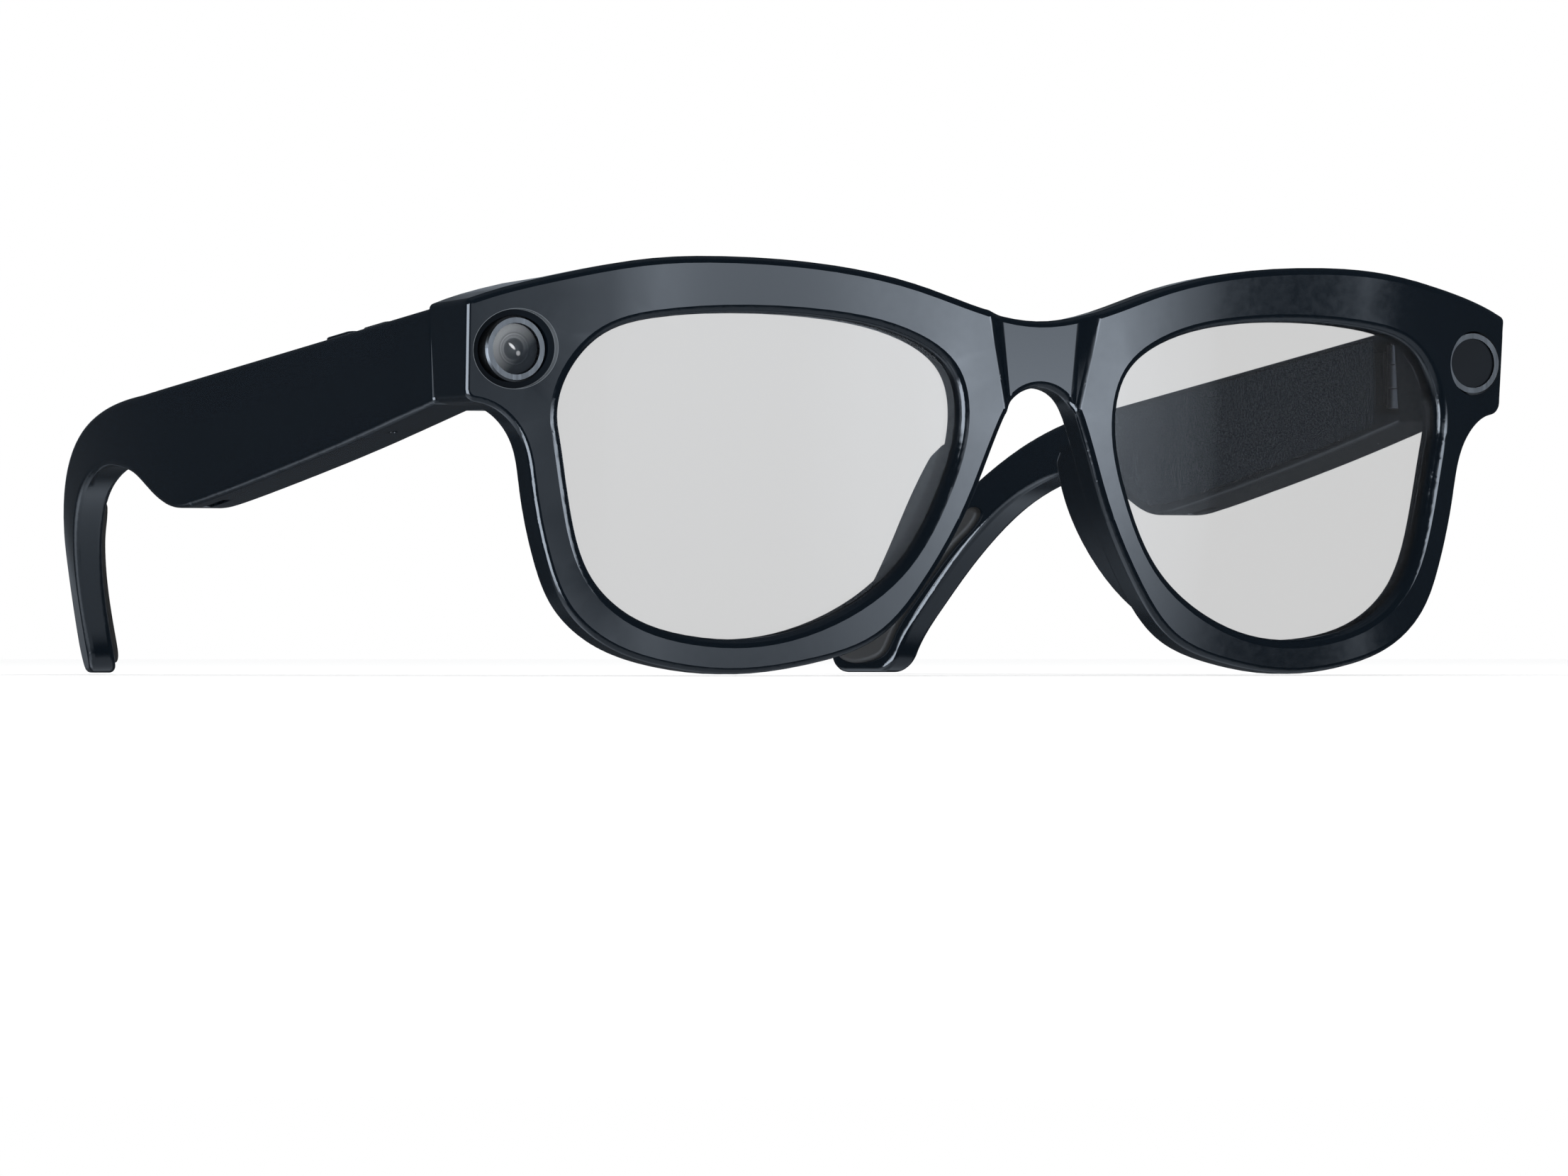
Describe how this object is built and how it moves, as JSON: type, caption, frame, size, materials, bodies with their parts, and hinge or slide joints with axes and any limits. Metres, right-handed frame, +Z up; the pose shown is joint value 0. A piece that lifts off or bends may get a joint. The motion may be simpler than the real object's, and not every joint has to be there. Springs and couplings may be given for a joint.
{
  "type": "smart glasses",
  "caption": "Thick-rimmed camera eyeglasses with clear lenses, folding temples that hold the electronics, and push buttons on top of the right temple.",
  "frame": {"origin": "under the middle of the glasses, on the surface that they stand on", "axes": "+Z up, +X towards the wearer's left, the front looks along -Y and the temples run back along +Y"},
  "size_m": [0.1488, 0.166, 0.0504],
  "materials": {
    "shell": "glossy, nearly black with a blue cast",
    "lens": "clear with a faint grey tint",
    "ring": "glossy black",
    "ring_grey": "satin dark grey",
    "dark_glass": "dark polished glass",
    "window": "smoked, polished",
    "barrel": "matt black",
    "optic": "clear",
    "board": "solder-masked laminate",
    "chip": "matt black",
    "cell": "satin pouch foil",
    "speaker": "satin",
    "mesh": "fine dark mesh",
    "steel": "satin",
    "cable": "flexible printed laminate",
    "soft": "soft-touch dark grey",
    "button": "glossy, nearly black"
  },
  "bodies": {
    "front": {"front_frame": "shell", "lens_left": "lens", "lens_right": "lens", "brow_cable": "cable", "front_hinge_left": "steel", "front_hinge_right": "steel", "hinge_pin_left": "steel", "hinge_pin_right": "steel", "camera_ring": "ring", "camera_glass": "dark_glass", "camera_barrel": "barrel", "camera_lens": "optic", "camera_board": "board", "indicator_ring": "ring_grey", "indicator_window": "window", "light_guide": "optic", "indicator_board": "board"},
    "temple_left": {"temple_shell_left": "shell", "temple_cover_left": "shell", "temple_hinge_left": "steel", "hinge_screws_left": "steel", "hook_core_left": "steel", "tip_pad_left": "soft", "circuit_board_left": "board", "board_chips_left": "chip", "battery_left": "cell", "speaker_left": "speaker", "speaker_mesh_left": "mesh", "microphone_mesh_left": "mesh"},
    "temple_right": {"temple_shell_right": "shell", "temple_cover_right": "shell", "temple_hinge_right": "steel", "hinge_screws_right": "steel", "hook_core_right": "steel", "tip_pad_right": "soft", "circuit_board_right": "board", "board_chips_right": "chip", "battery_right": "cell", "speaker_right": "speaker", "speaker_mesh_right": "mesh", "microphone_mesh_right": "mesh", "touch_sensor": "cable", "capture_switch": "steel", "power_switch": "steel"},
    "capture_button": {"capture_button": "button"},
    "power_button": {"power_button": "button"}
  },
  "joints": [
    {"name": "temple_left_fold", "type": "hinge", "parent": "front", "child": "temple_left", "pos_m": [0.064, -0.05863, 0.0376], "axis": [0, 0, 1], "range_deg": [0, 90]},
    {"name": "temple_right_fold", "type": "hinge", "parent": "front", "child": "temple_right", "pos_m": [-0.064, -0.05863, 0.0376], "axis": [0, 0, -1], "range_deg": [0, 68]},
    {"name": "capture_button_press", "type": "slide", "parent": "temple_right", "child": "capture_button", "axis": [0, -0.1028, -0.9947], "range_m": [0, 0.0004], "stiffness_N_per_m": 2000, "springref_m": -0.0001},
    {"name": "power_button_press", "type": "slide", "parent": "temple_right", "child": "power_button", "axis": [0, -0.1028, -0.9947], "range_m": [0, 0.0004], "stiffness_N_per_m": 2000, "springref_m": -0.0001}
  ]
}
